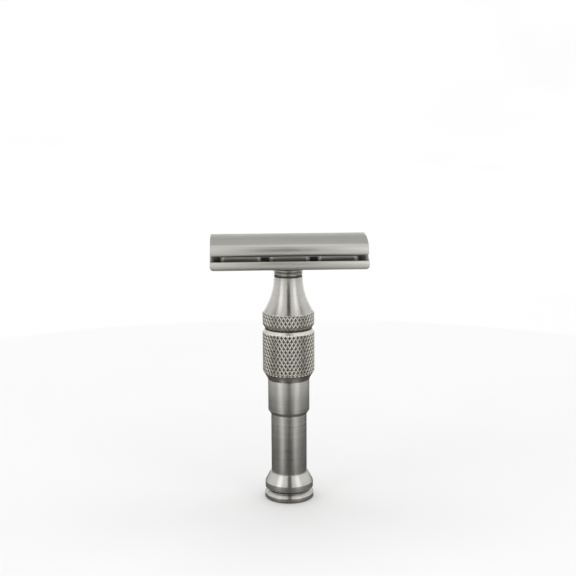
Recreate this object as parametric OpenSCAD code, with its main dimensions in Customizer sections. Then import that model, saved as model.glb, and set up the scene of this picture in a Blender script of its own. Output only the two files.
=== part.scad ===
// Safety razor with a clamped double-edge head and a short handle of turned sections.
// Millimetres. Origin at the middle of the foot's underside, +Z up, head length along X.
// The cap, blade and base plate turn on the handle; the cap's stud winds up as they turn.

/* [Head] */
// Length of the cap along X
cap_l = 43; // [40:0.1:46]
// Width of the cap, front rim to back rim
cap_w = 21; // [19:0.1:24]
// Height of the cap's crest above the foot's underside
crest_z = 76.2; // [72:0.1:84]
// Radius of the cap's shallow crown
crown_r = 30; // [24:0.5:50]
// Length of the base plate along X
plate_l = 43.2; // [40:0.1:46]
// Width of the base plate over both safety bars
plate_w = 22.2; // [20:0.1:25]
// Height of the base plate's underside
plate_z = 68; // [66:0.05:72]
// Height of each safety bar, underside to top
bar_h = 2.45; // [1.4:0.05:3]
// Radius that each safety bar's upper outer side is rounded to
bar_round = 1.7; // [0.5:0.05:2]
// Length of one drain slot
slot_l = 11; // [6:0.1:12]
// Distance from one drain slot to the next
slot_pitch = 13.2; // [11:0.1:14]
// Width of one drain slot
slot_w = 2.2; // [1.5:0.1:3]

/* [Blade] */
// Length of the blade along X
blade_l = 42.8; // [42:0.1:43.5]
// Length of each sharp edge between the corner notches
edge_l = 37.2; // [36:0.1:38]
// Width of the blade's end tabs
tab_w = 13.4; // [12:0.1:16]
// Thickness of the blade's steel
blade_t = 0.1; // [0.08:0.01:0.2]
// Radius that the cap bends the blade to
bend_r = 21.6; // [20:0.1:40]
// Chord of the bent blade, edge to edge
blade_chord = 21.06; // [20:0.02:21.8]

/* [Clamp stud and pins] */
// Diameter of the cap's threaded stud
stud_d = 4.8; // [4:0.1:6]
// Height of the stud's lower tip when the head is clamped
stud_tip_z = 61; // [60:0.1:66]
// Diameter of the two locating pins
pin_d = 3.4; // [2.4:0.1:4]
// Distance from the stud to each pin
pin_x = 16.6; // [14:0.1:18]
// Radial clearance of the stud and the bush
stud_gap = 0.05; // [0.02:0.01:0.1]

/* [Neck] */
// Radius of the narrow top of the cone
neck_r = 4.04; // [3.8:0.02:6]
// Radius of the concave flare in side view
flare_r = 17.8; // [12:0.1:30]
// Radius of the two beads under the head
bead_r = 4.32; // [4.2:0.02:6]
// Outer radius of the threaded bush
bush_r = 3.25; // [3:0.05:3.5]

/* [Grip] */
// Radius over the knurled barrel
grip_r = 7.3; // [6:0.05:9]
// Radius over the knurled ring at the cone's foot
ring_r = 7.27; // [6:0.05:9]
// Radius at the bottom of the seam between ring and barrel
seam_r = 6.68; // [5.8:0.02:8]
// Height of the barrel's lower end
barrel_z0 = 35; // [30:0.1:40]
// Height of the barrel's upper end
barrel_z1 = 49.6; // [44:0.1:54]
// Radius of the plain sleeve below the barrel
sleeve_r = 5.85; // [5:0.05:7]
// Height of the sleeve's lower rim
sleeve_z0 = 26; // [20:0.1:30]
// Height of the sloping underside from the shaft up to that rim
sleeve_slope = 1.05; // [0.2:0.05:2]

/* [Shaft and foot] */
// Radius of the plain shaft
shaft_r = 5.04; // [4:0.02:6]
// Radius of the lower flange, which the razor stands on
foot_r = 6.94; // [6:0.02:9]
// Radius of the upper flange
flange_r = 6.83; // [6:0.02:9]
// Radius of the groove between the flanges
groove_r = 5.9; // [5:0.05:6.5]
// Height of the upper flange's top, where the shaft starts
flange_top_z = 7.73; // [6:0.05:10]
// Radius at the top of the upper flange's cone
flange_top_r = 5.35; // [5.1:0.05:6.5]
// Height of the upper flange's underside
flange_z0 = 3.12; // [2.8:0.02:4]
// Thickness of the seal between the two flanges
foot_washer_t = 0.7; // [0.2:0.05:0.8]

/* [Hidden] */
$fn = 96;
e = 0.01;
steel = [0.73, 0.72, 0.70];
dark_steel = [0.62, 0.62, 0.61];
brass = [0.80, 0.66, 0.36];
blade_steel = [0.82, 0.84, 0.86];
black = [0.08, 0.08, 0.08];
// The blade, the cap's underside and the plate's top share one bending axis along X.
bend_z = crest_z - 1.78 - bend_r;
under_r = bend_r + 0.1;
seat_r = bend_r - blade_t - 0.1;
// The crown runs out to this angle, then a tight roll turns down to the upright rim.
crown_a = 17.5;
roll_r = (cap_w / 2 - crown_r * sin(crown_a)) / (1 - sin(crown_a));
roll_y = crown_r * sin(crown_a) - roll_r * sin(crown_a);
roll_z = crest_z - crown_r + (crown_r - roll_r) * cos(crown_a);
bar_top_z = plate_z + bar_h;
slot_y = 8.7;
cove_r = 2.3;
cove_y = 10.3;
cove_z = bar_top_z + 2.1;
washer_t = 0.3;
grip_washer_t = 0.45;
cone_z0 = barrel_z1 + grip_washer_t;
cone_z1 = 64.5;
ring_z0 = cone_z0 + 0.95;
flare_z = cone_z1 - 0.1;
flare_z0 = flare_z - sqrt(pow(flare_r, 2) - pow(neck_r + flare_r - ring_r, 2));
collar_z0 = cone_z1 + washer_t;
collar_z1 = plate_z - 0.05;
rod_r = 2.5;
rod_bore_r = 2.6;
hub_r = 3.6;
hub_z1 = 12;
spigot_r = 4.3;
top_spigot_r = 5;
taper_h = 2.5;

// A cylinder from one height to another.
module disc(r, z0, z1) {
    translate([0, 0, z0])
        cylinder(r = r, h = z1 - z0);
}

// A cylinder with its lower and upper edges broken by small chamfers.
module edged_disc(r, z0, z1, low, high) {
    rotate_extrude()
        polygon([[0, z0], [r - low, z0], [r, z0 + low], [r, z1 - high], [r - high, z1], [0, z1]]);
}

// Draws a side profile given as [Y, Z] and runs it the whole length along X.
module along_x(l) {
    rotate([90, 0, 90])
        translate([0, 0, -l / 2])
        linear_extrude(l)
        children();
}

// A plate seen from the front: square ends with rounded lower and upper corners.
module front_outline(l, z0, z1, low, high) {
    rotate([90, 0, 0])
        translate([0, 0, -20])
        linear_extrude(40)
        union() {
            translate([-l / 2, z0 + low])
                square([l, z1 - z0 - low - high]);
            translate([-l / 2 + low, z0])
                square([l - 2 * low, low + e]);
            translate([-l / 2 + high, z1 - high - e])
                square([l - 2 * high, high + e]);
            for (s = [-1, 1]) {
                translate([s * (l / 2 - low), z0 + low])
                    circle(r = low);
                translate([s * (l / 2 - high), z1 - high])
                    circle(r = high);
            }
        }
}

// Two upright holes or pegs at the locating pins' places.
module at_pins() {
    for (s = [-1, 1])
        translate([s * pin_x, 0, 0])
            children();
}

// The cap's side profile: a shallow crown, a tight roll at each edge and an upright rim.
module cap_profile() {
    difference() {
        union() {
            intersection() {
                translate([0, crest_z - crown_r])
                    circle(r = crown_r);
                translate([-roll_y, 60])
                    square([2 * roll_y, 30]);
            }
            intersection() {
                translate([0, crest_z - crown_r])
                    circle(r = crown_r);
                translate([-crown_r * sin(crown_a), 60])
                    square([2 * crown_r * sin(crown_a), 30]);
            }
            for (s = [-1, 1])
                translate([s * roll_y, roll_z])
                    circle(r = roll_r);
            translate([-cap_w / 2, 60])
                square([cap_w, roll_z - 60]);
        }
        translate([0, bend_z])
            circle(r = under_r);
        translate([-20, 50])
            square([40, 20]);
    }
}

module top_cap() {
    color(steel)
    difference() {
        intersection() {
            along_x(cap_l)
                cap_profile();
            front_outline(cap_l, bend_z + sqrt(pow(under_r, 2) - pow(cap_w / 2, 2)), crest_z, 0.6, 0.3);
        }
        disc(stud_d / 2, 70, crest_z - 0.7);
        at_pins()
            disc(pin_d / 2, 70, crest_z - 0.8);
    }
}

module cap_stud() {
    color(dark_steel)
    edged_disc(stud_d / 2, stud_tip_z, crest_z - 0.7, 0.5, 0.1);
}

module cap_pins() {
    color(dark_steel)
    at_pins()
        edged_disc(pin_d / 2, 70.9, crest_z - 0.8, 0.4, 0.1);
}

// The blade in plan: two sharp edges, narrower end tabs, a long slot and three holes.
module blade_outline() {
    difference() {
        union() {
            square([edge_l, blade_chord], center = true);
            square([blade_l, tab_w], center = true);
        }
        circle(r = 2.9);
        square([2 * pin_x, 2.4], center = true);
        for (s = [-1, 1])
            translate([s * pin_x, 0])
                circle(r = 2.1);
    }
}

module blade() {
    color(blade_steel)
    intersection() {
        along_x(blade_l + 2)
            difference() {
                translate([0, bend_z])
                    circle(r = bend_r);
                translate([0, bend_z])
                    circle(r = bend_r - blade_t);
            }
        translate([0, 0, 70])
            linear_extrude(6)
            blade_outline();
    }
}

// The base plate's side profile: an arched blade seat, a cove each side, then the safety bar.
module plate_profile() {
    half = plate_w / 2;
    edge_r = 0.2;
    face_h = 1.35;
    difference() {
        intersection() {
            translate([0, bend_z])
                circle(r = seat_r);
            union() {
                translate([-half + edge_r, plate_z])
                    square([plate_w - 2 * edge_r, face_h]);
                translate([-half, plate_z + edge_r])
                    square([plate_w, face_h - edge_r]);
                translate([-half + bar_round, plate_z + edge_r])
                    square([plate_w - 2 * bar_round, 10]);
                for (s = [-1, 1]) {
                    translate([s * (half - edge_r), plate_z + edge_r])
                        circle(r = edge_r);
                    translate([s * (half - bar_round), plate_z + face_h])
                        circle(r = bar_round);
                }
            }
        }
        for (s = [-1, 1]) {
            translate([s * cove_y, cove_z])
                circle(r = cove_r);
            translate([s * (cove_y + 3), bar_top_z + 5.15])
                square([6, 10], center = true);
        }
    }
}

// One drain slot with round ends, cut straight down.
module drain_slot() {
    cut = slot_l - slot_w;
    translate([0, 0, plate_z - 1])
        linear_extrude(10)
        union() {
            square([cut, slot_w], center = true);
            for (s = [-1, 1])
                translate([s * cut / 2, 0])
                    circle(r = slot_w / 2);
        }
}

module base_plate() {
    color(steel)
    difference() {
        intersection() {
            along_x(plate_l)
                plate_profile();
            front_outline(plate_l, plate_z, crest_z, 1, 0.3);
        }
        for (i = [-1:1], s = [-1, 1])
            translate([i * slot_pitch, s * slot_y, 0])
                drain_slot();
        disc(stud_d / 2 + 0.1, plate_z - 1, crest_z);
        disc(bush_r + 0.07, plate_z - 1, plate_z + 1);
        at_pins()
            disc(pin_d / 2 + 0.08, plate_z - 1, crest_z);
    }
}

module neck_collar() {
    color(steel)
    difference() {
        rotate_extrude()
            polygon([
                [0, collar_z0], [3.86, collar_z0], [4.06, collar_z0 + 0.2], [4.12, collar_z0 + 0.4],
                [4.08, collar_z0 + 0.62], [3.98, collar_z0 + 0.82], [3.98, collar_z0 + 0.92],
                [bead_r - 0.04, collar_z0 + 1.12], [bead_r, collar_z0 + 1.3],
                [bead_r - 0.06, collar_z0 + 1.6], [4.15, collar_z0 + 1.9],
                [4.15, collar_z1], [0, collar_z1]
            ]);
        disc(bush_r, collar_z0 - 1, collar_z1 + 1);
    }
}

module stud_bush() {
    color(brass)
    difference() {
        edged_disc(bush_r, 58, plate_z + 0.85, 0.2, 0.2);
        disc(stud_d / 2 + stud_gap, 57, plate_z + 2);
    }
}

module neck_washer() {
    color(black)
    difference() {
        disc(3.85, cone_z1, collar_z0);
        disc(bush_r, cone_z1 - 1, collar_z0 + 1);
    }
}

module neck_cone() {
    color(steel)
    difference() {
        union() {
            rotate_extrude()
                polygon([
                    [0, cone_z0], [seam_r, cone_z0], [ring_r, ring_z0], [ring_r, flare_z],
                    [neck_r, flare_z], [neck_r - 0.1, cone_z1], [0, cone_z1]
                ]);
        }
        translate([0, 0, flare_z])
            rotate_extrude()
            translate([neck_r + flare_r, 0])
            circle(r = flare_r);
        disc(top_spigot_r, cone_z0 - 1, barrel_z1 + 2);
        disc(rod_r, cone_z0 - 1, 57.2);
        disc(bush_r, 58, cone_z1 + 1);
    }
}

module grip_washer() {
    color(black)
    difference() {
        disc(seam_r - 0.12, barrel_z1, cone_z0);
        disc(top_spigot_r, barrel_z1 - 1, cone_z0 + 1);
    }
}

// The barrel's knurled outside, with a hollow taper at its foot and a chamfer at its top.
module grip_barrel() {
    steps = 6;
    drop = grip_r - sleeve_r;
    color(steel)
    difference() {
        union() {
            rotate_extrude()
                polygon(concat(
                    [[0, barrel_z0]],
                    [for (i = [0:steps]) [
                        sleeve_r + 0.05 + (drop - 0.05) * pow(i / steps, 1.25),
                        barrel_z0 + taper_h * i / steps
                    ]],
                    [[grip_r, barrel_z1 - 0.95], [seam_r, barrel_z1], [0, barrel_z1]]
                ));
            disc(top_spigot_r, barrel_z1 - e, barrel_z1 + 2);
        }
        disc(4.4, barrel_z0 - 1, barrel_z0 + 2);
        disc(rod_bore_r, barrel_z0 - 1, barrel_z1 + 3);
    }
}

module grip_sleeve() {
    color(steel)
    difference() {
        union() {
            rotate_extrude()
                polygon([
                    [0, sleeve_z0 - sleeve_slope], [shaft_r + 0.08, sleeve_z0 - sleeve_slope],
                    [sleeve_r, sleeve_z0], [sleeve_r, barrel_z0], [0, barrel_z0]
                ]);
            disc(4.4, barrel_z0 - e, barrel_z0 + 2);
        }
        disc(shaft_r, sleeve_z0 - 2, sleeve_z0 + 5);
        disc(rod_bore_r, sleeve_z0 - 2, barrel_z0 + 3);
    }
}

module shaft() {
    color(steel)
    difference() {
        union() {
            disc(shaft_r, flange_top_z, sleeve_z0 + 5);
            disc(spigot_r, flange_top_z - 1.7, flange_top_z + e);
        }
        disc(hub_r, flange_top_z - 3, hub_z1 + 0.2);
        disc(rod_bore_r, hub_z1, sleeve_z0 + 6);
    }
}

module tie_rod() {
    color(dark_steel)
    edged_disc(rod_r, 5.6, 57, 0.4, 0.4);
}

module foot_flange() {
    color(steel)
    difference() {
        rotate_extrude()
            polygon([
                [0, flange_z0], [flange_r - 0.1, flange_z0], [flange_r, flange_z0 + 0.1], [flange_r, 4.83],
                [flange_top_r, flange_top_z], [0, flange_top_z]
            ]);
        disc(hub_r, 2, flange_top_z + 1);
        disc(spigot_r, flange_top_z - 1.7, flange_top_z + 1);
    }
}

module foot_washer() {
    color(black)
    difference() {
        disc(groove_r, flange_z0 - foot_washer_t, flange_z0);
        disc(hub_r, 2, 4);
    }
}

module foot_knob() {
    color(steel)
    difference() {
        union() {
            rotate_extrude()
                polygon([
                    [0, 0], [foot_r - 0.3, 0], [foot_r, 0.3], [foot_r, 1.4], [foot_r - 0.92, 2.32],
                    [groove_r, 2.32], [groove_r, flange_z0 - foot_washer_t], [0, flange_z0 - foot_washer_t]
                ]);
            disc(hub_r, 2, hub_z1);
        }
        disc(rod_r, 5, hub_z1 + 1);
    }
}

top_cap();
cap_stud();
cap_pins();
blade();
base_plate();
neck_collar();
stud_bush();
neck_washer();
neck_cone();
grip_washer();
grip_barrel();
grip_sleeve();
shaft();
tie_rod();
foot_flange();
foot_washer();
foot_knob();
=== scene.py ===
# %% [markdown]
# # A safety razor standing on its foot
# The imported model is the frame: it says how long each piece is and which pieces move together.
# Every piece here is laid out from the boxes of those nodes, so nothing has to be fitted by eye.
# Lengths in this lesson are in millimetres, because that is how a razor is drawn, and `MM` turns
# them into Blender's metres.

# %% Load the frame
import math
import bmesh
import bpy
from mathutils import Euler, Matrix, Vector


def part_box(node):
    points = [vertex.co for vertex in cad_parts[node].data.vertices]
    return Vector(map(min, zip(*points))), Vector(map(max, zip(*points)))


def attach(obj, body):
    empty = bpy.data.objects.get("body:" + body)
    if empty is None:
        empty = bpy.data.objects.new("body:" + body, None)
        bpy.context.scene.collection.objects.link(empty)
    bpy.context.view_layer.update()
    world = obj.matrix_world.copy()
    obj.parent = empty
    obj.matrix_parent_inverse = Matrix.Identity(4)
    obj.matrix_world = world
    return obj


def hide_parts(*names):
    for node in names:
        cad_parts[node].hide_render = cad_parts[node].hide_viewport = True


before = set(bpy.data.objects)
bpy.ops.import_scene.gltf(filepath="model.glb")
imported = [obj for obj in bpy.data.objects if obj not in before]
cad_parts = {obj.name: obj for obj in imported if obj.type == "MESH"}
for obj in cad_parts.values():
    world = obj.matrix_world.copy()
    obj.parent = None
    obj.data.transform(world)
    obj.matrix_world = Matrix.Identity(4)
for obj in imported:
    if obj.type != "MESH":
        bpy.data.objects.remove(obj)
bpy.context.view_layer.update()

MM = 0.001


def span(node):
    """The lowest and highest corner of a node, in millimetres."""
    low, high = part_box(node)
    return [c / MM for c in low], [c / MM for c in high]


def heights(node):
    low, high = span(node)
    return low[2], high[2]


def radius(node):
    low, high = span(node)
    return (high[0] - low[0]) / 2


# %% [markdown]
# ## Fine lines left by the lathe
# A turned part is covered with rings a few hundredths of a millimetre apart. They all run round
# the axis, so their pattern depends almost only on height. A noise that is squeezed along Z and
# stretched round the part gives those rings. A wave texture would do it too, but it repeats, and
# the eye picks that up at once. The group gives a height for the bump and a tone for the colour.

# %% Lathe lines as a node group
def new_group(name, inputs, outputs):
    """An empty shader node group with number sockets and a Vector input."""
    group = bpy.data.node_groups.new(name, "ShaderNodeTree")
    group.interface.new_socket("Vector", in_out="INPUT", socket_type="NodeSocketVector")
    for label, value in inputs:
        socket = group.interface.new_socket(label, in_out="INPUT", socket_type="NodeSocketFloat")
        socket.default_value = value
    for label in outputs:
        group.interface.new_socket(label, in_out="OUTPUT", socket_type="NodeSocketFloat")
    return group, group.nodes.new("NodeGroupInput"), group.nodes.new("NodeGroupOutput")


def stretched_noise(tree, vector, stretch, detail=2.0, roughness=0.5):
    """Noise whose grain is squeezed by the given amounts along X, Y and Z. Returns its value."""
    mapping = tree.nodes.new("ShaderNodeMapping")
    mapping.inputs["Scale"].default_value = stretch
    noise = tree.nodes.new("ShaderNodeTexNoise")
    noise.inputs["Scale"].default_value = 1.0
    noise.inputs["Detail"].default_value = detail
    noise.inputs["Roughness"].default_value = roughness
    tree.links.new(vector, mapping.inputs["Vector"])
    tree.links.new(mapping.outputs["Vector"], noise.inputs["Vector"])
    return noise.outputs["Fac"]


def blend_values(tree, kind, a, b):
    """One Math node. a and b are sockets or numbers."""
    node = tree.nodes.new("ShaderNodeMath")
    node.operation = kind
    for socket, value in zip(node.inputs, (a, b)):
        if isinstance(value, (int, float)):
            socket.default_value = value
        else:
            tree.links.new(value, socket)
    return node.outputs["Value"]


def line_group(name, fine, coarse):
    """Fine lines plus broader bands, each noise stretched as given."""
    group, enter, leave = new_group(name, [("Band share", 0.4)], ["Lines", "Bands"])
    thin = stretched_noise(group, enter.outputs["Vector"], fine, 3.0, 0.6)
    broad = stretched_noise(group, enter.outputs["Vector"], coarse, 2.0, 0.5)
    share = enter.outputs["Band share"]
    both = blend_values(group, "ADD", thin, blend_values(group, "MULTIPLY", broad, share))
    group.links.new(both, leave.inputs["Lines"])
    group.links.new(broad, leave.inputs["Bands"])
    return group


lathe_lines = line_group("Lathe lines", (60, 60, 9000), (25, 25, 1400))
brush_lines = line_group("Brush lines", (70, 9000, 9000), (25, 1500, 1500))
print("line groups:", lathe_lines.name, "and", brush_lines.name)

# %% [markdown]
# ## Handling marks
# A steel razor that has been held picks up a faint film: soft patches where it is a little duller,
# and a sprinkle of tiny specks. Real fingerprints would be too much on a clean part, so this group
# only nudges the roughness. It uses two round noises of very different sizes.

# %% Handling marks as a node group
def film_group():
    group, enter, leave = new_group("Handling marks", [("Patch size", 180.0)], ["Patches", "Specks"])
    noise = group.nodes.new("ShaderNodeTexNoise")
    noise.inputs["Detail"].default_value = 3.0
    group.links.new(enter.outputs["Vector"], noise.inputs["Vector"])
    group.links.new(enter.outputs["Patch size"], noise.inputs["Scale"])
    specks = stretched_noise(group, enter.outputs["Vector"], (4200, 4200, 4200), 1.0)
    sharp = group.nodes.new("ShaderNodeMapRange")
    sharp.inputs["From Min"].default_value = 0.62
    sharp.inputs["From Max"].default_value = 0.74
    group.links.new(specks, sharp.inputs["Value"])
    group.links.new(noise.outputs["Fac"], leave.inputs["Patches"])
    group.links.new(sharp.outputs["Result"], leave.inputs["Specks"])
    return group


handling_marks = film_group()
print("group:", handling_marks.name)

# %% [markdown]
# ## Steps that every material shares
# Each material starts with a Principled shader, brings in a node group, and maps a value that
# varies over the surface to a range of numbers or to a colour between two tones. Written once as
# short functions, these steps keep the recipes below readable.

# %% Helpers for the shaders
def new_material(name):
    material = bpy.data.materials.new(name)
    material.use_nodes = True
    tree = material.node_tree
    return material, tree, tree.nodes["Principled BSDF"]


def use_group(tree, group, where):
    node = tree.nodes.new("ShaderNodeGroup")
    node.node_tree = group
    tree.links.new(where, node.inputs["Vector"])
    return node


def between(tree, value, low, high, start=0.25, end=0.75):
    """Maps a value that varies over the surface to a range, and clamps it there."""
    node = tree.nodes.new("ShaderNodeMapRange")
    node.inputs["From Min"].default_value = start
    node.inputs["From Max"].default_value = end
    node.inputs["To Min"].default_value = low
    node.inputs["To Max"].default_value = high
    tree.links.new(value, node.inputs["Value"])
    return node.outputs["Result"]


def two_tones(tree, value, dark, light):
    """A colour that runs from dark to light as the value goes from 0.3 to 0.7."""
    ramp = tree.nodes.new("ShaderNodeValToRGB")
    ramp.color_ramp.elements[0].position = 0.3
    ramp.color_ramp.elements[0].color = (*dark, 1)
    ramp.color_ramp.elements[1].position = 0.7
    ramp.color_ramp.elements[1].color = (*light, 1)
    tree.links.new(value, ramp.inputs["Fac"])
    return ramp.outputs["Color"]


def darken(tree, colour, mask, share):
    """The colour, multiplied by share where the mask is 1."""
    node = tree.nodes.new("ShaderNodeMix")
    node.data_type, node.blend_type = "RGBA", "MULTIPLY"
    node.inputs[7].default_value = (share, share, share, 1)
    tree.links.new(mask, node.inputs[0])
    tree.links.new(colour, node.inputs[6])
    return node.outputs[2]


print("shader helpers ready")

# %% [markdown]
# ## One recipe for every metal
# All metals here share one recipe and differ in their numbers: a colour that drifts slightly with
# the bands, a roughness that follows the bands and the film, and a bump from the fine lines. Places
# that lie in shade, such as the pits of the knurl, can be darkened with a mask: painted shade. The
# Principled shader stays in the material itself, and what doesn't change over the surface, such as
# the anisotropy, is set straight on its socket.

# %% The metal recipe
def metal(name, lines, dark, light, rough, line_depth, streak=0.0, painted_shade=None, share=0.45):
    """A bare metal. rough is (smoothest, roughest); line_depth is the bump's height in mm; streak
    draws highlights out across the lathe lines, from 0 to 1; the mask of painted shade marks the
    places, such as pits, grooves and coves, that keep only this share of their colour."""
    material, tree, shader = new_material(name)
    where = tree.nodes.new("ShaderNodeTexCoord").outputs["Object"]
    cut = use_group(tree, lines, where)
    film = use_group(tree, handling_marks, where)
    colour = two_tones(tree, cut.outputs["Bands"], dark, light)
    if painted_shade:
        # Painted shade: the mask darkens the colour where shade falls.
        colour = darken(tree, colour, painted_shade(tree, where), share)
    tree.links.new(colour, shader.inputs["Base Color"])
    spread = blend_values(tree, "ADD", cut.outputs["Bands"], film.outputs["Patches"])
    sheen = between(tree, spread, rough[0], rough[1], 0.7, 1.3)
    speck = blend_values(tree, "MULTIPLY", film.outputs["Specks"], 0.08)
    tree.links.new(blend_values(tree, "ADD", sheen, speck), shader.inputs["Roughness"])
    bump = tree.nodes.new("ShaderNodeBump")
    bump.inputs["Strength"].default_value = 1.0
    bump.inputs["Distance"].default_value = line_depth * MM
    tree.links.new(cut.outputs["Lines"], bump.inputs["Height"])
    tree.links.new(bump.outputs["Normal"], shader.inputs["Normal"])
    shader.inputs["Metallic"].default_value = 1.0
    shader.inputs["Anisotropic"].default_value = streak
    shader.inputs["Anisotropic Rotation"].default_value = 0.25
    return material


print("metal recipe ready")

# %% [markdown]
# ## Masks of painted shade on the head
# Each mask is worked out from a point's distance to the head's middle line or to the middle of a
# slot, so it needs no texture painting and fits the shapes exactly. The coves and the bridges
# between the slots are darkened with painted shade, the shade under the cap, and the slots' ends
# are left out of it, so they stay brighter. All distances are in millimetres.

# %% Masks for the plate and the blade
SLOT_PITCH = 13.2
COVE_INNER = (7.4, 7.6)
COVE_OUTER = (10.6, 10.8)
SLOT_HALF = 5.5
SLOT_ROUND = (4.4, 4.6)
SLOTS_END = 19.0
GROUND_EDGE = 10.0
FADE = 0.1


def off_centre(tree, where, start, end):
    """A mask that is 0 near the head's middle line and turns to 1 between two distances in mm."""
    split = tree.nodes.new("ShaderNodeSeparateXYZ")
    tree.links.new(where, split.inputs["Vector"])
    distance = blend_values(tree, "ABSOLUTE", split.outputs["Y"], 0.0)
    return between(tree, distance, 0.0, 1.0, start * MM, end * MM)


end_x = radius("base_plate")


def slot_ends(tree, where):
    """The slots' round ends, told by their distance from a slot's middle, and the plate's ends."""
    split = tree.nodes.new("ShaderNodeSeparateXYZ")
    tree.links.new(where, split.inputs["Vector"])
    along = blend_values(tree, "ABSOLUTE", split.outputs["X"], 0.0)
    distance = blend_values(tree, "PINGPONG", along, SLOT_PITCH / 2 * MM)
    bridge = between(tree, distance, 1.0, 0.0, SLOT_HALF * MM, (SLOT_HALF + FADE) * MM)
    curved = between(tree, distance, 0.4, 1.0, SLOT_ROUND[0] * MM, SLOT_ROUND[1] * MM)
    slots = between(tree, along, 1.0, 0.0, SLOTS_END * MM, (SLOTS_END + FADE) * MM)
    past_end = between(tree, along, 0.0, 1.0, (end_x - 2 * FADE) * MM, (end_x - FADE) * MM)
    ends = blend_values(tree, "MULTIPLY", slots, blend_values(tree, "MULTIPLY", bridge, curved))
    return blend_values(tree, "ADD", ends, past_end)


def cove_shade_mask(tree, where):
    """Painted shade for the coves and drain slots, between the blade's seat and the bars, without the
    slots' ends.
    """
    inner = off_centre(tree, where, *COVE_INNER)
    outer = off_centre(tree, where, *COVE_OUTER)
    cove = blend_values(tree, "SUBTRACT", inner, outer)
    bright = blend_values(tree, "MULTIPLY", cove, slot_ends(tree, where))
    return blend_values(tree, "SUBTRACT", cove, bright)


def edge_tone_and_shade_mask(tree, where):
    """The blade's ground edges: a little darker in their own tone, and darker still with painted shade
    under the cap's rim.
    """
    return off_centre(tree, where, GROUND_EDGE, GROUND_EDGE + FADE)


print("masks for the plate's coves and the blade's edges")

# %% [markdown]
# ## Masks of painted shade in the pits and grooves on the handle
# A pit of the knurl or a groove of the collar is told from what stands proud by its distance from
# the axis, and the mask darkens it with painted shade. The mask is one function that makes another,
# because each part has its own crest radius and its own heights.

# %% Masks for the knurl and the collar
DEPTH = 0.2


def pit_shade_mask(crest, z0, z1):
    """A mask of painted shade in the pits from z0 to z1, told from the ridges by their distance from the
    axis.
    """
    def mask(tree, where):
        split = tree.nodes.new("ShaderNodeSeparateXYZ")
        level = tree.nodes.new("ShaderNodeCombineXYZ")
        distance = tree.nodes.new("ShaderNodeVectorMath")
        distance.operation = "LENGTH"
        tree.links.new(where, split.inputs["Vector"])
        tree.links.new(split.outputs["X"], level.inputs["X"])
        tree.links.new(split.outputs["Y"], level.inputs["Y"])
        tree.links.new(level.outputs["Vector"], distance.inputs[0])
        deep = between(tree, distance.outputs["Value"], 1.0, 0.0,
                       (crest - DEPTH) * MM, (crest - DEPTH / 4) * MM)
        over = between(tree, split.outputs["Z"], 0.0, 1.0, z0 * MM, (z0 + FADE) * MM)
        under = between(tree, split.outputs["Z"], 1.0, 0.0, (z1 - FADE) * MM, z1 * MM)
        return blend_values(tree, "MULTIPLY", deep, blend_values(tree, "MULTIPLY", over, under))
    return mask


grip_r, ring_r = radius("grip_barrel"), radius("neck_cone")
CHAMFER = 0.95
taper_top = heights("grip_barrel")[0] + 2.5
chamfer_z = heights("grip_washer")[0] - CHAMFER
ring_z0 = heights("neck_cone")[0] + 0.95
COLLAR_CREST = 3.98

barrel_pit_shade = pit_shade_mask(grip_r, taper_top, chamfer_z)
ring_pit_shade = pit_shade_mask(ring_r, ring_z0, ring_z0 + 4.0)
collar_groove_shade = pit_shade_mask(COLLAR_CREST, *heights("neck_collar"))
print("barrel knurl from", round(taper_top, 2), "to", round(chamfer_z, 2), "mm up")

# %% [markdown]
# ## The steels, the brass and the seals
# The head is brushed along its length and the handle is turned, so they get the same satin steel
# with different lines. Stainless steel is a neutral grey that leans a little to yellow. The blade
# is smoother and cooler. The bush is brass, which runs well against a steel thread. The seals are
# matt black rubber, which needs a recipe of its own; their black also paints the shade in the seams.

# %% Make the materials
SATIN_DARK = (0.585, 0.57, 0.53)
SATIN_LIGHT = (0.665, 0.65, 0.605)
GRIP_DARK = (0.68, 0.66, 0.58)
GRIP_LIGHT = (0.79, 0.77, 0.68)
COLLAR_DARK = (0.67, 0.655, 0.61)
COLLAR_LIGHT = (0.77, 0.755, 0.71)
GRIP_ROUGH = (0.26, 0.34)
HEAD_ROUGH = (0.32, 0.40)
FINE = 0.0002
PIT_SHADE_SHARE = 0.28

turned_steel = metal("Turned steel", lathe_lines, SATIN_DARK, SATIN_LIGHT, (0.26, 0.33), FINE, 0.82)
# The knurl's pits on the barrel and the ring are darkened: painted shade.
knurled_steel = metal("Knurled steel", lathe_lines, GRIP_DARK, GRIP_LIGHT, GRIP_ROUGH,
                      FINE, 0.0, barrel_pit_shade, PIT_SHADE_SHARE)
# The collar's grooves between the beads are darkened: painted shade.
collar_steel = metal("Collar steel", lathe_lines, COLLAR_DARK, COLLAR_LIGHT, (0.22, 0.3),
                     FINE, 0.6, collar_groove_shade, 0.36)
ring_steel = metal("Ring steel", lathe_lines, GRIP_DARK, GRIP_LIGHT, GRIP_ROUGH,
                   FINE, 0.0, ring_pit_shade, PIT_SHADE_SHARE)
brushed_steel = metal("Brushed steel", brush_lines, SATIN_DARK, SATIN_LIGHT, HEAD_ROUGH, FINE)
# The plate's coves and slots keep half their colour under the mask: painted shade under the cap.
plate_steel = metal("Plate steel", brush_lines, SATIN_DARK, SATIN_LIGHT, HEAD_ROUGH,
                    FINE, 0.0, cove_shade_mask, 0.5)
plain_steel = metal("Machined steel", lathe_lines, (0.46, 0.46, 0.45), (0.56, 0.56, 0.55),
                    (0.26, 0.42), 0.002)
# The blade's ground edges keep 0.3 of their colour: partly their own darker grind and partly painted shade
# under the cap's rim.
blade_steel = metal("Blade steel", brush_lines, (0.60, 0.61, 0.62), (0.70, 0.71, 0.72), (0.12, 0.2),
                    0.0004, 0.0, edge_tone_and_shade_mask, 0.3)
turned_brass = metal("Turned brass", lathe_lines, (0.60, 0.42, 0.16), (0.74, 0.56, 0.26),
                     (0.2, 0.34), 0.002)


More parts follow.
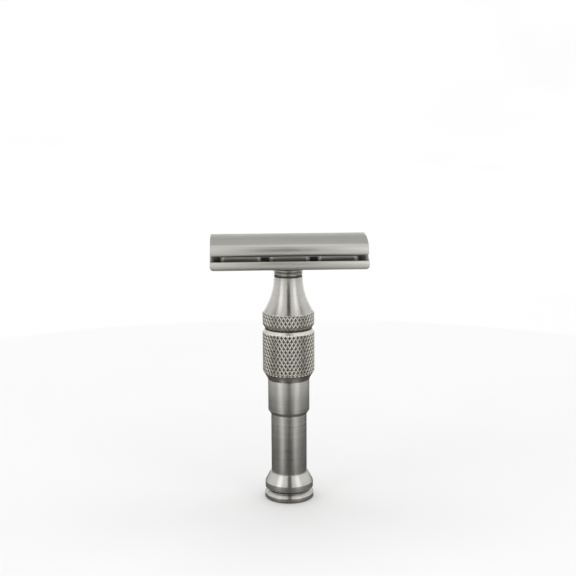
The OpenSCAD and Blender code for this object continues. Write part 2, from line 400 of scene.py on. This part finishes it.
def seal_material():
    """Matt black rubber: nearly no colour, a fine grain and a slight bloom. On the washers its black is
    partly painted shade in the seams and the foot's groove.
    """
    material, tree, shader = new_material("Black rubber")
    where = tree.nodes.new("ShaderNodeTexCoord").outputs["Object"]
    film = use_group(tree, handling_marks, where)
    colour = two_tones(tree, film.outputs["Patches"], (0.012, 0.012, 0.012), (0.03, 0.03, 0.029))
    tree.links.new(colour, shader.inputs["Base Color"])
    tree.links.new(between(tree, film.outputs["Patches"], 0.55, 0.8), shader.inputs["Roughness"])
    bump = tree.nodes.new("ShaderNodeBump")
    bump.inputs["Distance"].default_value = 0.01 * MM
    tree.links.new(film.outputs["Specks"], bump.inputs["Height"])
    tree.links.new(bump.outputs["Normal"], shader.inputs["Normal"])
    return material


black_seal_and_seam_shade = seal_material()
print(len(bpy.data.materials), "materials")

# %% [markdown]
# ## Rounded corners
# A sharp CAD corner has no width, so it never catches the light; a rounded one shows as a fine
# bright line. Each corner of an outline is replaced by a short curve of about a tenth of a
# millimetre, as on a deburred part. Every mesh is cleaned and shaded smooth by one function.

# %% Round the corners and make a clean mesh
def soften(outline, edge=0.12, steps=3):
    """The closed outline with each corner replaced by a short curve about `edge` mm wide."""
    rounded = []
    for i, point in enumerate(outline):
        here = Vector(point)
        before = Vector(outline[i - 1]) - here
        after = Vector(outline[(i + 1) % len(outline)]) - here
        if here.x < 1e-6 or before.angle(-after, 0) < 0.12:
            rounded.append(here)
            continue
        start = here + before.normalized() * min(edge, before.length * 0.4)
        end = here + after.normalized() * min(edge, after.length * 0.4)
        for k in range(steps + 1):
            t = k / steps
            rounded.append(start * (1 - t) ** 2 + here * 2 * t * (1 - t) + end * t ** 2)
    return [(p.x, p.y) for p in rounded]


def mesh_object(name, verts, faces, sharp=40):
    """A smooth-shaded mesh object from millimetre points, with clean outward normals."""
    mesh = bpy.data.meshes.new(name)
    mesh.from_pydata([(x * MM, y * MM, z * MM) for x, y, z in verts], [], faces)
    work = bmesh.new()
    work.from_mesh(mesh)
    bmesh.ops.remove_doubles(work, verts=work.verts, dist=1e-7)
    bmesh.ops.recalc_face_normals(work, faces=work.faces)
    work.to_mesh(mesh)
    work.free()
    mesh.shade_smooth()
    mesh.set_sharp_from_angle(angle=math.radians(sharp))
    piece = bpy.data.objects.new(name, mesh)
    bpy.context.scene.collection.objects.link(piece)
    return piece


print("outlines can be softened and made into meshes")

# %% [markdown]
# ## Meshes for turned parts
# A turned part is one outline spun round the axis. Blender's Spin or Screw could do it, but writing
# the rings out makes it easy to push the surface in later, which is how the knurl and the thread
# are cut. The second function gives a finished piece its material and body and hides its CAD nodes.

# %% Spin an outline and finish a piece
def spin(name, outline, turns=192, press=None, sharp=40):
    """Spins a closed [radius, height] outline. press(angle, radius, height) may lower a radius."""
    verts, faces = [], []
    for j in range(turns):
        angle = 2 * math.pi * j / turns
        for r, z in outline:
            if press:
                r = press(angle, r, z)
            verts.append((r * math.cos(angle), r * math.sin(angle), z))
    n = len(outline)
    for j in range(turns):
        k = (j + 1) % turns
        for i in range(n):
            m = (i + 1) % n
            if outline[i][0] < 1e-6 and outline[m][0] < 1e-6:
                continue
            faces.append((j * n + i, j * n + m, k * n + m, k * n + i))
    return mesh_object(name, verts, faces, sharp)


def finish_piece(piece, material, body, slot, *nodes):
    """Gives the piece its material, ties it to its body and hides its CAD nodes."""
    piece.data.materials.append(material)
    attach(piece, body)
    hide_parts(*nodes)
    print(piece.name, "-", len(piece.data.vertices), "points")


# %% [markdown]
# ## The foot
# The razor stands on a flanged foot: a lower flange, a groove and an upper flange with a long
# conical top that runs into the shaft. The knob below carries the hub that the tie rod screws into.

# %% Foot knob and flange
knob_r = radius("foot_knob")
washer_z0, washer_z1 = heights("foot_washer")
groove_r = radius("foot_washer")
hub_r = 3.6
rod_r = radius("tie_rod")
hub_top = heights("foot_knob")[1]
rim_top = 1.4
bevel = 0.92
rod_hole_floor = 5.0

foot_knob = spin("foot_knob_turned", soften([
    (0, 0), (knob_r - 0.3, 0), (knob_r, 0.3), (knob_r, rim_top),
    (knob_r - bevel, rim_top + bevel), (groove_r, rim_top + bevel), (groove_r, washer_z0),
    (hub_r, washer_z0), (hub_r, hub_top), (rod_r, hub_top),
    (rod_r, rod_hole_floor), (0, rod_hole_floor),
], 0.1))
finish_piece(foot_knob, turned_steel, "handle", "turned_steel", "foot_knob")

flange_r = radius("foot_flange")
flange_z1 = heights("foot_flange")[1]
shaft_r = radius("shaft")
spigot_r = 4.3
spigot_z = heights("shaft")[0]
flange_rim_top = 4.83
flange_neck_r = 5.35

foot_flange = spin("foot_flange_turned", soften([
    (hub_r, washer_z1), (flange_r, washer_z1), (flange_r, flange_rim_top), (flange_neck_r, flange_z1),
    (spigot_r, flange_z1), (spigot_r, spigot_z), (hub_r, spigot_z),
], 0.1))
finish_piece(foot_flange, turned_steel, "handle", "turned_steel", "foot_flange")

# %% [markdown]
# ## Shaft and sleeve
# Two plain turned pieces. The sleeve ends in a rim with an underside that slopes in to the shaft.
# The slope faces down and mirrors what the razor stands on, so it reads as a dark line.

# %% Shaft and sleeve
shaft_z0, shaft_z1 = heights("shaft")
rod_bore_r = 2.6

shaft = spin("shaft_turned", soften([
    (hub_r, shaft_z0), (spigot_r, shaft_z0), (spigot_r, flange_z1), (shaft_r, flange_z1),
    (shaft_r, shaft_z1), (rod_bore_r, shaft_z1), (rod_bore_r, hub_top + 0.2), (hub_r, hub_top + 0.2),
], 0.08))
finish_piece(shaft, turned_steel, "handle", "turned_steel", "shaft")

sleeve_r = radius("grip_sleeve")
sleeve_z0, sleeve_z2 = heights("grip_sleeve")
barrel_z0, barrel_z2 = heights("grip_barrel")
tail_r = 4.4

sleeve = spin("grip_sleeve_turned", soften([
    (shaft_r, sleeve_z0), (shaft_r + 0.08, sleeve_z0), (sleeve_r, sleeve_z0 + 1.05),
    (sleeve_r, barrel_z0), (tail_r, barrel_z0), (tail_r, sleeve_z2), (rod_bore_r, sleeve_z2),
    (rod_bore_r, shaft_z1), (shaft_r, shaft_z1),
], 0.06))
finish_piece(sleeve, turned_steel, "handle", "turned_steel", "grip_sleeve")

# %% [markdown]
# ## Diamond knurl
# Two sets of ridges wind round the part in opposite directions, with a diamond-shaped pit between
# them. A displacement texture could fake that, but real geometry keeps its silhouette and its
# sparkle from every side. The mesh has twelve steps to each pit both ways, so that every ridge runs
# exactly along the diagonals of its squares. A knurl is rolled before the ends are chamfered, so
# the outline cuts the ridges off: a point's radius is never more than the outline's.

# %% The knurl's depth at any place
STARTS = 40
LEAD = 2.0
STEPS = 12
RIDGE = 0.5


def ridge(turn):
    """1 on a ridge's crest, 0 on the floor of a pit; turn counts ridges."""
    from_crest = abs(turn % 1.0 - 0.5) * 2
    return max(0.0, 1 - from_crest / RIDGE)


def knurl(angle, z):
    """How deep the knurl is at this place, in millimetres."""
    around = STARTS * angle / (2 * math.pi)
    up = z / LEAD
    return DEPTH * (1 - max(ridge(around + up), ridge(around - up)))


def rows(z0, z1):
    """Heights that the knurl's rows fall on, from z0 to z1."""
    step = LEAD / STEPS
    first = math.floor(z0 / step) + 1
    last = math.ceil(z1 / step) - 1
    return [i * step for i in range(first, last + 1)]


def knurled(crest, z0, z1, bevel_top):
    """A press function: cuts the knurl between z0 and z1. Under bevel_top it follows the bevel."""
    def press(angle, r, z):
        if z < z0 or z > z1 or r < crest * 0.8:
            return r
        start = r if z < bevel_top else crest
        return min(r, start - knurl(angle, z))
    return press


print("diamond", round(2 * math.pi * 7.3 / STARTS, 2), "mm wide and", LEAD, "mm tall")

# %% [markdown]
# ## The grip barrel
# The barrel has a smooth chamfer on top, the knurl, a short knurled bevel, and then a smooth hollow
# taper down to the sleeve. The spigot on top enters the neck cone, and the tie rod runs through.

# %% Build the barrel
barrel_z1 = heights("grip_washer")[0]
seam_r = radius("grip_washer") + 0.12
top_spigot_r = 5.0
knurl_end = barrel_z0 + 2.05


def taper(z):
    """The hollow taper's radius."""
    share = (z - barrel_z0) / (taper_top - barrel_z0)
    return sleeve_r + 0.05 + (grip_r - sleeve_r - 0.05) * share ** 1.25


barrel_side = [(taper(z), z) for z in [barrel_z0 + 0.2 * i for i in range(11)]]
barrel_side += [(taper(z), z) for z in rows(knurl_end, taper_top)]
barrel_side += [(grip_r, z) for z in rows(taper_top, barrel_z1 - CHAMFER)]
barrel_side += [(grip_r, barrel_z1 - CHAMFER)]
barrel_side += [(grip_r + (seam_r - grip_r) * i / 6, barrel_z1 - CHAMFER * (1 - i / 6))
                for i in range(1, 7)]

grip_barrel = spin("grip_barrel_knurled", barrel_side + [
    (top_spigot_r, barrel_z1), (top_spigot_r, barrel_z2), (rod_bore_r, barrel_z2),
    (rod_bore_r, sleeve_z2), (tail_r, sleeve_z2), (tail_r, barrel_z0),
], STARTS * STEPS, knurled(grip_r, knurl_end, barrel_z1 - CHAMFER * 0.7, taper_top), 30)
finish_piece(grip_barrel, knurled_steel, "handle", "turned_steel", "grip_barrel")

# %% [markdown]
# ## The neck cone
# The flare is one arc that starts upright at the narrow neck and runs out to the knurled ring. The
# ring's lower bevel is knurled as well. The cone is open at both ends: the bush fills the upper
# bore, and the tie rod screws into the lower one.

# %% Build the neck cone
cone_z0, cone_z1 = heights("neck_cone")
bush_r = radius("stud_bush")
bush_z0 = heights("stud_bush")[0]
neck_r = 4.04
flare_r = 17.8
rod_hole_top = 57.2
flare_top = cone_z1 - 0.1
ring_z1 = flare_top - math.sqrt(flare_r ** 2 - (neck_r + flare_r - ring_r) ** 2)


def flare(z):
    return neck_r + flare_r - math.sqrt(flare_r ** 2 - (flare_top - z) ** 2)


cone_side = [(seam_r + (ring_r - seam_r) * (z - cone_z0) / (ring_z0 - cone_z0), z)
             for z in [cone_z0] + rows(cone_z0, ring_z0)]
cone_side += [(ring_r, z) for z in rows(ring_z0, ring_z1)]
cone_side += [(flare(ring_z1 + 0.15 * i), ring_z1 + 0.15 * i) for i in range(8)]
flare_start = ring_z1 + 0.15 * 8
flare_steps = 36
cone_side += [(flare(z), z) for z in
              [flare_start + (flare_top - flare_start) * i / flare_steps for i in range(flare_steps + 1)]]

neck_cone = spin("neck_cone_knurled", cone_side + [
    (neck_r - 0.1, cone_z1), (bush_r, cone_z1), (bush_r, bush_z0), (0, bush_z0), (0, rod_hole_top),
    (rod_r, rod_hole_top), (rod_r, barrel_z2), (top_spigot_r, barrel_z2), (top_spigot_r, cone_z0),
], STARTS * STEPS, knurled(ring_r, cone_z0 - 1, ring_z1 + 1.0, ring_z0), 30)
finish_piece(neck_cone, turned_steel, "handle", "turned_steel", "neck_cone")
neck_cone.data.materials.append(ring_steel)
for face in neck_cone.data.polygons:
    if face.center.z < ring_z1 * MM and face.center.xy.length > seam_r * 0.9 * MM:
        face.material_index = 1

# %% [markdown]
# ## The beaded collar
# Two beads under the head. They are so small that they are read only by their highlights and the
# dark grooves between them, so their curves get plenty of points.

# %% Build the collar
collar_z0, collar_z1 = heights("neck_collar")
bead_r = radius("neck_collar")


def bead(low, high, bulge, steps=12):
    """A curved side from one [radius, height] to the next, bulging outwards in the middle."""
    points = []
    for i in range(steps + 1):
        t = i / steps
        r = low[0] + (high[0] - low[0]) * t + bulge * math.sin(math.pi * t)
        points.append((r, low[1] + (high[1] - low[1]) * t))
    return points


groove_floor = 3.72
under_head_r = groove_floor + 0.08
lower_bead = bead((groove_floor, collar_z0 + 0.08), (groove_floor, collar_z0 + 0.98), 0.36)
upper_bead = bead((groove_floor, collar_z0 + 1.04), (under_head_r, collar_z0 + 2.1), bead_r - 3.76)
collar = spin("neck_collar_turned", [(groove_floor, collar_z0)] + lower_bead + upper_bead + [
    (under_head_r, collar_z1), (bush_r, collar_z1), (bush_r, collar_z0),
])
finish_piece(collar, collar_steel, "handle", "turned_steel", "neck_collar")

# %% [markdown]
# ## The cap
# The cap is one side profile run along the head: a shallow crown, a tight roll and an upright rim,
# with a hollow underside that bends the blade. It starts as a straight bar with that section; its
# ends are cut square, and a small bevel takes the sharpness off them later.

# %% Build the cap
cap_low, cap_high = span("top_cap")
cap_half, cap_half_l = cap_high[1], cap_high[0]
crest = cap_high[2]
bend_r = 21.6
bend_z = span("blade")[1][2] - bend_r
under_r = bend_r + 0.1
crown_r = 30.0
crown_angle = math.radians(17.5)
roll_r = (cap_half - crown_r * math.sin(crown_angle)) / (1 - math.sin(crown_angle))
roll_y = (crown_r - roll_r) * math.sin(crown_angle)
roll_z = crest - crown_r + (crown_r - roll_r) * math.cos(crown_angle)


def arc(cy, cz, r, start, end, steps):
    """Points on an arc; angles in radians from straight up, positive towards +Y."""
    turn = [start + (end - start) * i / steps for i in range(steps + 1)]
    return [(cy + r * math.sin(a), cz + r * math.cos(a)) for a in turn]


def cap_profile():
    """[Y, Z] points round the cap's section, in order."""
    top = arc(0, crest - crown_r, crown_r, 0, crown_angle, 20)
    roll = arc(roll_y, roll_z, roll_r, crown_angle, math.pi / 2, 12)[1:]
    rim = math.asin(cap_half / under_r)
    under = arc(0, bend_z, under_r, rim, 0, 24)
    under[0] = (cap_half - 0.05, under[0][1] + 0.03)
    half = top + roll + [(cap_half, under[0][1] + 0.12)] + under
    return half + [(-y, z) for y, z in half[-2:0:-1]]


def bar_along_x(name, profile, half_l, sharp=35):
    """A straight bar with the given [Y, Z] section, from -half_l to half_l along X."""
    n = len(profile)
    verts = [(x, y, z) for x in (-half_l, half_l) for y, z in profile]
    faces = [tuple(range(n)), tuple(range(n, 2 * n))]
    faces += [(i, (i + 1) % n, n + (i + 1) % n, n + i) for i in range(n)]
    return mesh_object(name, verts, faces, sharp)


print("cap roll radius", round(roll_r, 2), "mm")

# %% [markdown]
# The rim's lower corners are cut off round and the pins and the stud sit in blind holes, which a
# boolean makes more simply than hand-laid faces would. A small bevel afterwards rounds every edge.

# %% Cut corners and holes
def tidy_after_cut(piece, sharp=35):
    """Applies every modifier on the piece and shades it smooth again."""
    graph = bpy.context.evaluated_depsgraph_get()
    mesh = bpy.data.meshes.new_from_object(piece.evaluated_get(graph))
    piece.modifiers.clear()
    piece.data = mesh
    mesh.shade_smooth()
    mesh.set_sharp_from_angle(angle=math.radians(sharp))


def boolean(piece, tool, kind):
    """Cuts or crops the piece with the tool, then throws the tool away."""
    step = piece.modifiers.new(kind.lower(), "BOOLEAN")
    step.operation = kind
    step.solver = "EXACT"
    step.object = tool
    tidy_after_cut(piece)
    bpy.data.objects.remove(tool)


def edge_break(piece, width, angle=35, segments=2):
    """Rounds every sharp edge by this many millimetres."""
    step = piece.modifiers.new("edge break", "BEVEL")
    step.width = width * MM
    step.segments = segments
    step.limit_method = "ANGLE"
    step.angle_limit = math.radians(angle)
    tidy_after_cut(piece, 50)


def prism(name, outline, low, high, axis):
    """A straight prism over a closed outline, along Y or Z."""
    n = len(outline)
    if axis == "Z":
        verts = [(u, v, w) for w in (low, high) for u, v in outline]
    else:
        verts = [(u, w, v) for w in (low, high) for u, v in outline]
    faces = [tuple(range(n)), tuple(range(n, 2 * n))]
    faces += [(i, (i + 1) % n, n + (i + 1) % n, n + i) for i in range(n)]
    return mesh_object(name, verts, faces)


print("ways to cut, bevel and make straight cutters are ready")

# %% [markdown]
# Two outlines serve the cuts. A rounded rectangle, seen from the front, crops the ends of a bar, and
# a circle makes the holes. The pins' places come from the node that holds both of them.

# %% Crop the cap and drill its holes
def front_outline(half_l, z0, z1, low, high, steps=8):
    """A rectangle in X and Z with rounded lower and upper corners."""
    points = []
    for sx, cz, r, first in ((1, z1 - high, high, 0), (1, z0 + low, low, 90),
                             (-1, z0 + low, low, 180), (-1, z1 - high, high, 270)):
        for i in range(steps + 1):
            a = math.radians(first + 90 * i / steps)
            points.append((sx * (half_l - r) + r * math.sin(a), cz + r * math.cos(a)))
    return points


def circle_outline(cx, cy, r, steps=64):
    return [(cx + r * math.cos(2 * math.pi * i / steps), cy + r * math.sin(2 * math.pi * i / steps))
            for i in range(steps)]


pin_low, pin_high = span("cap_pins")
pin_r = (pin_high[1] - pin_low[1]) / 2
pin_x = pin_high[0] - pin_r
stud_r = radius("cap_stud")
stud_z0, stud_z1 = heights("cap_stud")

PAST_SIDES = 20
cap = bar_along_x("top_cap_brushed", cap_profile(), cap_half_l)
cap_front = front_outline(cap_half_l, cap_low[2], crest, 0.6, 0.3)
boolean(cap, prism("cap_front", cap_front, -PAST_SIDES, PAST_SIDES, "Y"), "INTERSECT")
for x, r, top in ((0, stud_r, stud_z1), (pin_x, pin_r, pin_high[2]), (-pin_x, pin_r, pin_high[2])):
    boolean(cap, prism("cap_hole", circle_outline(x, 0, r), 60, top, "Z"), "DIFFERENCE")
edge_break(cap, 0.08)
finish_piece(cap, brushed_steel, "cap", "satin_steel", "top_cap")

# %% [markdown]
# ## The base plate
# The plate is also a profile run along the head: an arched seat for the blade, a cove on each side
# and the safety bar beyond it. Three drain slots on each side, with round ends, let the lather
# through. The slots, the stud's hole and the pins' holes are cut straight down.

# %% Build the base plate
plate_low, plate_high = span("base_plate")
plate_half, plate_half_l = plate_high[1], plate_high[0]
plate_z = plate_low[2]
bar_top = plate_z + 2.45
bar_round = 1.7
face_top = plate_z + 1.35
seat_r = plate_high[2] - bend_z
cove_r, cove_y = 2.3, 10.3
cove_z = bar_top + 2.1


def plate_profile():
    """[Y, Z] points round the base plate's section, in order from the crest."""
    cove_start = math.radians(-88)
    seat_edge = cove_y + cove_r * math.sin(cove_start)
    seat = arc(0, bend_z, seat_r, 0, math.asin(seat_edge / seat_r), 24)
    lip = math.asin((plate_half - 0.35 - cove_y) / cove_r)
    cove = [(cove_y - cove_r * math.cos(a), cove_z - cove_r * math.sin(a))
            for a in [math.radians(4) + (math.pi / 2 + lip - math.radians(4)) * i / 16 for i in range(17)]]
    face_start = math.acos((cove[-1][1] - face_top) / bar_round)
    face = arc(plate_half - bar_round, face_top, bar_round, face_start, math.pi / 2, 8)[1:]
    foot = arc(plate_half - 0.2, plate_z + 0.2, 0.2, math.pi / 2, math.pi, 4)
    half = seat + cove + face + foot
    return half + [(-y, z) for y, z in half[::-1][:-1]]


slot_l, slot_w, slot_y = 11.0, 2.2, 8.7


def slot_outline(cx, cy, steps=12):
    """A slot with round ends, centred on (cx, cy)."""
    run, r = (slot_l - slot_w) / 2, slot_w / 2
    right = [(cx + run + r * math.sin(a), cy + r * math.cos(a)) for a in
             [math.pi * i / steps for i in range(steps + 1)]]
    left = [(cx - run - r * math.sin(a), cy - r * math.cos(a)) for a in
            [math.pi * i / steps for i in range(steps + 1)]]
    return right + left


plate = bar_along_x("base_plate_brushed", plate_profile(), plate_half_l)
plate_front = front_outline(plate_half_l, plate_z, crest, 1.0, 0.3)
boolean(plate, prism("plate_front", plate_front, -PAST_SIDES, PAST_SIDES, "Y"), "INTERSECT")
for side in (-1, 1):
    for place in (-1, 0, 1):
        cutter = prism("slot_cut", slot_outline(place * SLOT_PITCH, side * slot_y), plate_z - 1, crest, "Z")
        boolean(plate, cutter, "DIFFERENCE")
for x, r in ((0, stud_r + 0.1), (pin_x, pin_r + 0.08), (-pin_x, pin_r + 0.08)):
    boolean(plate, prism("plate_hole", circle_outline(x, 0, r), plate_z - 1, crest, "Z"), "DIFFERENCE")
bush_seat = circle_outline(0, 0, bush_r + 0.07)
boolean(plate, prism("plate_seat", bush_seat, plate_z - 1, plate_z + 1, "Z"), "DIFFERENCE")
edge_break(plate, 0.08)
finish_piece(plate, plate_steel, "plate", "satin_steel", "base_plate")

# %% [markdown]
# ## The threaded stud and the pins
# The stud's thread is a single right-hand helix with a pitch of 0.8 mm. The outline is spun as
# before, and the radius is pressed in by a V that climbs one pitch a turn. The plain shank under
# the cap and the chamfered tip are left alone.

# %% Build the stud and the pins
PITCH = 0.8
THREAD_DEPTH = 0.45
thread_top = stud_z1 - 4.2


def thread(angle, r, z):
    """Presses the thread into the stud, fading out at its top end."""
    if r < stud_r - 0.55 or z > thread_top:
        return r
    turn = z / PITCH - angle / (2 * math.pi)
    groove = 1 - abs(turn % 1.0 - 0.5) * 2
    fade = min(1.0, (thread_top - z) / PITCH)
    return min(r, stud_r - THREAD_DEPTH * groove * fade)


stud_side = [(0, stud_z0), (stud_r - 0.5, stud_z0)]
thread_rows = int((thread_top - stud_z0 - 0.5) / (PITCH / 12))
stud_side += [(stud_r, stud_z0 + 0.5 + i * PITCH / 12) for i in range(thread_rows + 1)]
stud_side += [(stud_r, stud_z1), (0, stud_z1)]
stud = spin("cap_stud_threaded", stud_side, 72, thread, 60)
finish_piece(stud, plain_steel, "cap", "plain_steel", "cap_stud")


def make_pins():
    """Two plain pins with rounded tips, as one mesh."""
    outline = soften([(0, pin_low[2]), (pin_r - 0.4, pin_low[2]), (pin_r, pin_low[2] + 0.4),
                      (pin_r, pin_high[2]), (0, pin_high[2])], 0.15)
    verts, faces, turns, n = [], [], 64, len(outline)
    for side in (-1, 1):
        first = len(verts)
        for j in range(turns):
            a = 2 * math.pi * j / turns
            verts += [(side * pin_x + r * math.cos(a), r * math.sin(a), z) for r, z in outline]
        for j in range(turns):
            k = (j + 1) % turns
            faces += [(first + j * n + i, first + j * n + i + 1, first + k * n + i + 1, first + k * n + i)
                      for i in range(n - 1)]
    return mesh_object("cap_pins_turned", verts, faces)


finish_piece(make_pins(), plain_steel, "cap", "plain_steel", "cap_pins")

# %% [markdown]
# ## The nodes that stay as they are
# The blade is a tenth of a millimetre thick and already has its true curve, slot and notches, so
# it only needs its finish. The bush, the tie rod and the three washers are plain shapes that are
# nearly out of sight, and they stay too.

# %% Finish the remaining nodes
kept = {
    "blade": blade_steel,
    "stud_bush": turned_brass,
    "tie_rod": plain_steel,
    # The washers' black is partly painted shade: it darkens the seams and the foot's groove.
    "neck_washer": black_seal_and_seam_shade,
    "grip_washer": black_seal_and_seam_shade,
    "foot_washer": black_seal_and_seam_shade,
}
for node, material in kept.items():
    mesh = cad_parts[node].data
    mesh.materials.clear()
    mesh.materials.append(material)
print("kept", ", ".join(kept))

# %% [markdown]
# ## The floor
# A pale paper sweep: flat under the razor, then curving up behind it, so that no horizon shows. A
# slight drift in tone keeps it from looking like a flat colour.

# %% Build the sweep
def pale_paper():
    material, tree, shader = new_material("Pale paper")
    where = tree.nodes.new("ShaderNodeTexCoord").outputs["Object"]
    grain = stretched_noise(tree, where, (6, 6, 6), 2.0)
    colour = two_tones(tree, grain, (0.86, 0.86, 0.86), (0.89, 0.89, 0.888))
    tree.links.new(colour, shader.inputs["Base Color"])
    shader.inputs["Roughness"].default_value = 0.8
    return material


def sheet_along_x(name, half_x, line):
    """A sheet of the given half width that follows a line of [Y, Z] points, in metres."""
    mesh = bpy.data.meshes.new(name)
    faces = [(2 * i, 2 * i + 1, 2 * i + 3, 2 * i + 2) for i in range(len(line) - 1)]
    mesh.from_pydata([(x, y, z) for y, z in line for x in (-half_x, half_x)], [], faces)
    mesh.shade_smooth()
    sheet = bpy.data.objects.new(name, mesh)
    bpy.context.scene.collection.objects.link(sheet)
    return sheet


SWEEP_R = 0.8
bend = [math.radians(90) * i / 24 for i in range(25)]
curve = [(1.0 + SWEEP_R * math.sin(a), SWEEP_R * (1 - math.cos(a))) for a in bend]
floor = sheet_along_x("floor", 3.0, [(-2.0, 0.0)] + curve + [(1.8, 3.0)])
floor.data.materials.append(pale_paper())
print("the sweep curves up with a radius of", SWEEP_R, "m")

# %% [markdown]
# ## Dark cards for the reflections
# Polished steel in an all-white room looks like white plastic. It needs something dark to mirror.
# A round card lies just above the floor, as a dark table top would. It is paler towards the two
# soft boxes, as a table top that mirrors them is, and this draws the streaks on upright sides. A
# narrow strip that stands in front draws the dark line down the middle of every turned piece, and
# a grey card behind keeps the cap's crown from washing out. Only reflections see the cards.

# %% What makes a sheet a card
def card(sheet, tone):
    """Makes a sheet a card of this grey that only reflections see. Returns its material's tree."""
    material, tree, shader = new_material(sheet.name)
    shader.inputs["Base Color"].default_value = (tone, tone, tone, 1)
    shader.inputs["Roughness"].default_value = 0.6
    sheet.data.materials.append(material)
    sheet.visible_camera = False
    sheet.visible_diffuse = False
    sheet.visible_shadow = False
    return tree


def disc(name, reach, z, steps=48):
    """A flat round sheet under the razor, in metres."""
    turns = [2 * math.pi * i / steps for i in range(steps)]
    mesh = bpy.data.meshes.new(name)
    rim = [(reach * math.cos(a), reach * math.sin(a), z) for a in turns]
    mesh.from_pydata(rim, [], [tuple(range(steps))])
    sheet = bpy.data.objects.new(name, mesh)
    bpy.context.scene.collection.objects.link(sheet)
    return sheet


print("cards are ready to place")

# %% [markdown]
# The card on the floor has two paler patches, left and right of the front. Its grey is chosen by
# direction with a radial gradient, and the tones were set so that the streaks on shaft,
# sleeve and foot fall where upright steel shows them.

# %% Place the cards
def glow_towards(tree, stops):
    """Gives a card a grey for each [degrees from the front, tone], blended from one to the next."""
    where = tree.nodes.new("ShaderNodeTexCoord").outputs["Object"]
    turn = tree.nodes.new("ShaderNodeTexGradient")
    turn.gradient_type = "RADIAL"
    ramp = tree.nodes.new("ShaderNodeValToRGB")
    points = ramp.color_ramp.elements
    while len(points) < len(stops):
        points.new(0.5)
    for point, (degrees, tone) in zip(points, stops):
        point.position = (degrees + 90) / 360
        point.color = (tone, tone, tone, 1)
    tree.links.new(where, turn.inputs["Vector"])
    tree.links.new(turn.outputs["Fac"], ramp.inputs["Fac"])
    tree.links.new(ramp.outputs["Color"], tree.nodes["Principled BSDF"].inputs["Base Color"])


BLACK = 0.012
table = card(disc("card on the floor", 0.24, 0.0001), BLACK)
glow_towards(table, [(-80, 0.02), (-60, 0.17), (-42, 0.5), (-27, 0.12), (-14, BLACK),
                     (8, BLACK), (24, 0.12), (33, 0.42), (50, 0.2), (90, 0.04)])
card(disc("card under the foot", 0.02, 0.0002), 0.09)
card(sheet_along_x("card in front", 0.12, [(-0.6, 0.05), (-0.6, 1.0), (-0.35, 1.25)]), BLACK)
card(sheet_along_x("card behind", 0.9, [(0.9, 0.3), (0.9, 1.3)]), 0.4)
print("four cards placed")

# %% [markdown]
# ## The camera
# A long lens, close by and a little above the head, looks down at about eleven degrees. The
# head is turned by two or three degrees, so the camera stands slightly to one side.

# %% Place the camera
camera_data = bpy.data.cameras.new("camera")
camera_data.sensor_width = 36
camera_data.lens = 76.41
camera_data.clip_start = 0.01
camera = bpy.data.objects.new("camera", camera_data)
bpy.context.scene.collection.objects.link(camera)
bpy.context.scene.camera = camera
distance = 0.336
side_angle = math.radians(2.5)
camera.location = (-distance * math.sin(side_angle), -distance * math.cos(side_angle), 0.125)
tilt = math.radians(90 - 10.78)
camera.rotation_euler = Euler((tilt, math.radians(0.3), -side_angle - math.radians(0.045)), "XYZ")
print("camera", distance, "m away, looking down", round(90 - math.degrees(tilt), 2), "degrees")

# %% [markdown]
# ## Soft light
# Most of the light comes from the pale room. Two soft boxes stand left and right of the camera. On
# a cone they show as two bright streaks, which is what makes it look round and metallic. A third
# light only brightens the sweep.

# %% Hang the lights
def soft_box(name, where, at, width, height, power):
    """An area light that faces the point `at`."""
    data = bpy.data.lights.new(name, "AREA")
    data.shape = "RECTANGLE"
    data.size, data.size_y = width, height
    data.energy = power
    light = bpy.data.objects.new(name, data)
    light.location = where
    light.rotation_euler = (Vector(at) - Vector(where)).to_track_quat("-Z", "Y").to_euler()
    bpy.context.scene.collection.objects.link(light)
    return light


middle = (0, 0, 0.04)
soft_box("left box", (-0.73, -0.53, 0.36), middle, 0.40, 0.85, 0.81)
soft_box("right box", (0.66, -0.63, 0.36), middle, 0.38, 0.85, 0.69)
backdrop = soft_box("backdrop light", (0, 0.6, 1.6), (0, 1.0, 0), 2.0, 1.0, 9)
backdrop.visible_glossy = False

world = bpy.data.worlds.new("pale room")
world.use_nodes = True
bpy.context.scene.world = world
room = world.node_tree.nodes["Background"]
room.inputs["Color"].default_value = (1, 1, 1, 1)
room.inputs["Strength"].default_value = 0.9
bpy.context.scene.view_settings.view_transform = "Standard"
print("three lights and the pale room")
